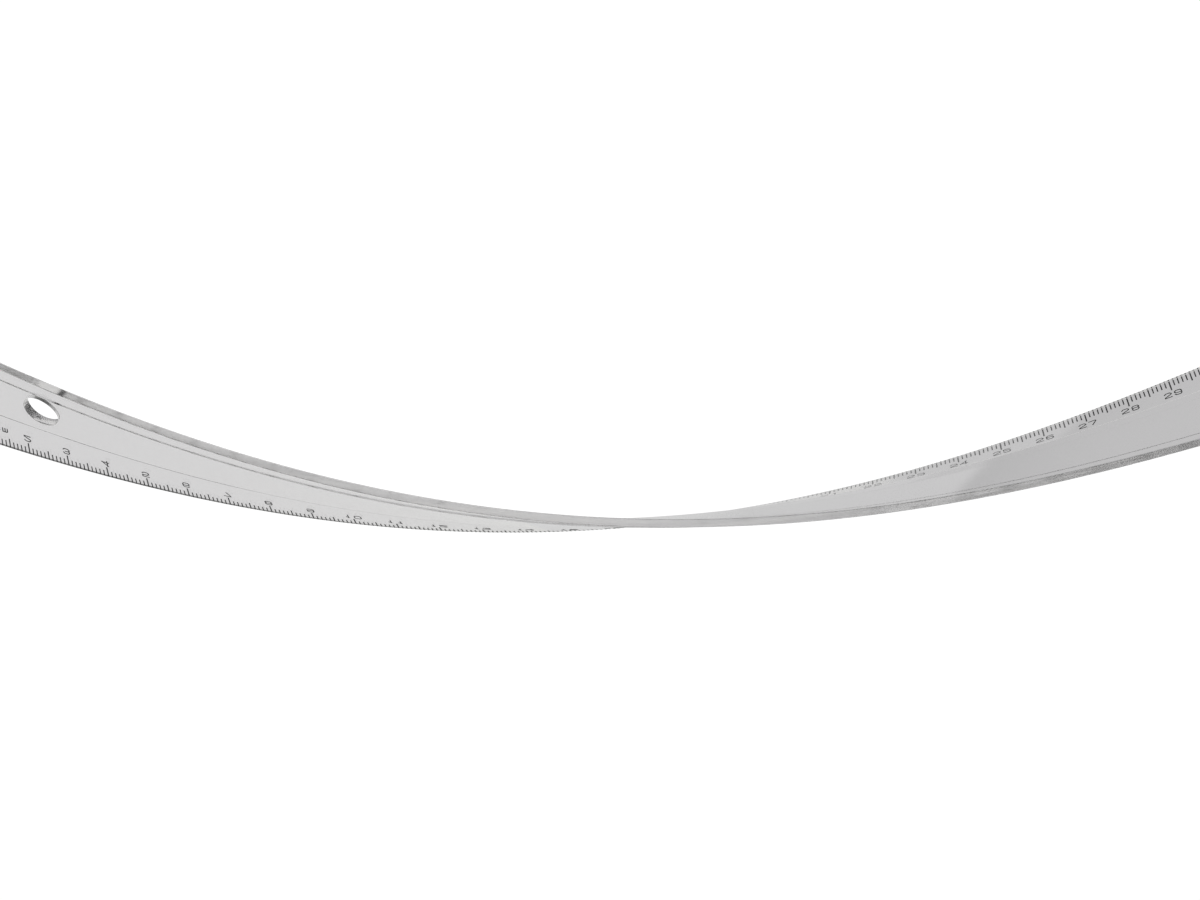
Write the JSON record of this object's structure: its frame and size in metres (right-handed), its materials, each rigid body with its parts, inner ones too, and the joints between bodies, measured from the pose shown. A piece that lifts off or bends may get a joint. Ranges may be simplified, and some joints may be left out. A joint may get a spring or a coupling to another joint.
{
  "type": "flexible ruler",
  "caption": "Clear plastic ruler held bent and twisted, with a bevelled scale edge, centimetre scale and figures printed underneath, and a hanging hole.",
  "frame": {"origin": "centre of the hanging hole, at mid thickness", "axes": "+X along the middle of the scale towards the 30 line, -Y from the scale edge to the thick back edge and +Z out of the top face, all three at the 15 line"},
  "size_m": [0.305, 0.0352, 0.0423],
  "materials": {
    "acrylic": "clear, polished",
    "printing_ink": "black screen-printed ink"
  },
  "bodies": {
    "root": {"blade": "acrylic", "centimetre_lines": "printing_ink", "half_centimetre_lines": "printing_ink", "millimetre_lines": "printing_ink", "numeral_0": "printing_ink", "numeral_1": "printing_ink", "numeral_10": "printing_ink", "numeral_11": "printing_ink", "numeral_12": "printing_ink", "numeral_13": "printing_ink", "numeral_14": "printing_ink", "numeral_15": "printing_ink", "numeral_16": "printing_ink", "numeral_17": "printing_ink", "numeral_18": "printing_ink", "numeral_19": "printing_ink", "numeral_2": "printing_ink", "numeral_20": "printing_ink", "numeral_21": "printing_ink", "numeral_22": "printing_ink", "numeral_23": "printing_ink", "numeral_24": "printing_ink", "numeral_25": "printing_ink", "numeral_26": "printing_ink", "numeral_27": "printing_ink", "numeral_28": "printing_ink", "numeral_29": "printing_ink", "numeral_3": "printing_ink", "numeral_30": "printing_ink", "numeral_4": "printing_ink", "numeral_5": "printing_ink", "numeral_6": "printing_ink", "numeral_7": "printing_ink", "numeral_8": "printing_ink", "numeral_9": "printing_ink", "unit_mark": "printing_ink"}
  },
  "joints": []
}
